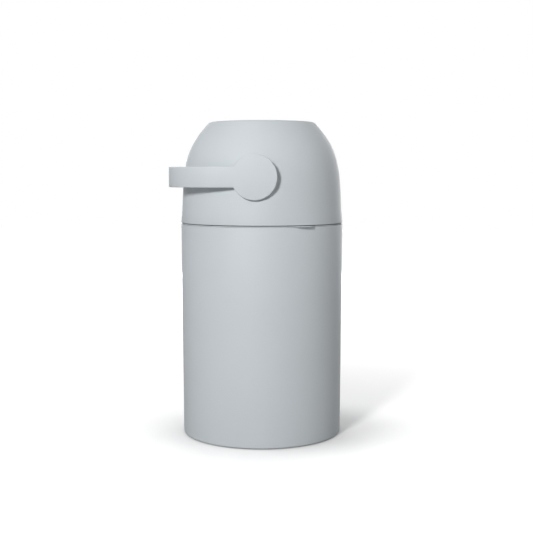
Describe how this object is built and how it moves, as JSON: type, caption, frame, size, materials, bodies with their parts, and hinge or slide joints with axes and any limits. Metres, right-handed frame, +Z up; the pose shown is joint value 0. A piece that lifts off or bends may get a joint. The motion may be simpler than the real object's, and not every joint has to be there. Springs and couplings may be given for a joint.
{
  "type": "nappy bin",
  "caption": "Tall round nappy bin: domed head on a rear hinge, with a bow handle that turns a hollow ball and its sliding piston to drop a nappy into the bag.",
  "frame": {"origin": "centre of the underside of the base pad, where the bin's upright axis meets the floor", "axes": "+Z up along the bin's axis; -Y towards the front disc of the handle; -X towards the grip of the handle at rest; +Y towards the head's hinge"},
  "size_m": [0.306, 0.3076, 0.56],
  "materials": {
    "body_plastic": "smooth satin moulded plastic, light blue-grey",
    "inner_plastic": "fine matt moulded plastic, pale grey",
    "ball_plastic": "polished moulded plastic, pale grey",
    "piston_plastic": "smooth moulded plastic, blue-grey",
    "bush_plastic": "slick natural moulded plastic",
    "axle_plastic": "glass-filled moulded plastic, mid grey",
    "seal_rubber": "soft matt rubber, near black",
    "pad_rubber": "matt non-slip rubber, dark grey",
    "steel": "plated steel"
  },
  "bodies": {
    "bin": {"bucket": "body_plastic", "base_pad": "pad_rubber", "bag_ring": "body_plastic", "hinge_pin": "steel"},
    "head": {"dome_shell": "body_plastic", "throat_ring": "inner_plastic", "upper_seal": "seal_rubber", "head_base": "inner_plastic", "lower_seal": "seal_rubber", "head_gasket": "seal_rubber", "bush_front": "bush_plastic", "bush_rear": "bush_plastic", "base_screw_1": "steel", "base_screw_2": "steel", "base_screw_3": "steel", "base_screw_4": "steel"},
    "rotor": {"handle_bail": "body_plastic", "axle_front": "axle_plastic", "axle_rear": "axle_plastic", "drum_upper": "ball_plastic", "drum_lower": "ball_plastic", "drum_screw_1": "steel", "drum_screw_2": "steel", "drum_screw_3": "steel", "drum_screw_4": "steel"},
    "piston": {"piston_body": "piston_plastic", "piston_cover": "piston_plastic", "piston_seal": "seal_rubber"}
  },
  "joints": [
    {"name": "head_hinge", "type": "hinge", "parent": "bin", "child": "head", "pos_m": [0, 0.152, 0.38], "axis": [-1, 0, 0], "range_deg": [0, 95]},
    {"name": "handle_turn", "type": "hinge", "parent": "head", "child": "rotor", "pos_m": [0, 0, 0.463], "axis": [0, 1, 0], "range_deg": [0, 180]},
    {"name": "piston_slide", "type": "slide", "parent": "rotor", "child": "piston", "axis": [0, 0, 1], "range_m": [0, 0.0958]}
  ]
}
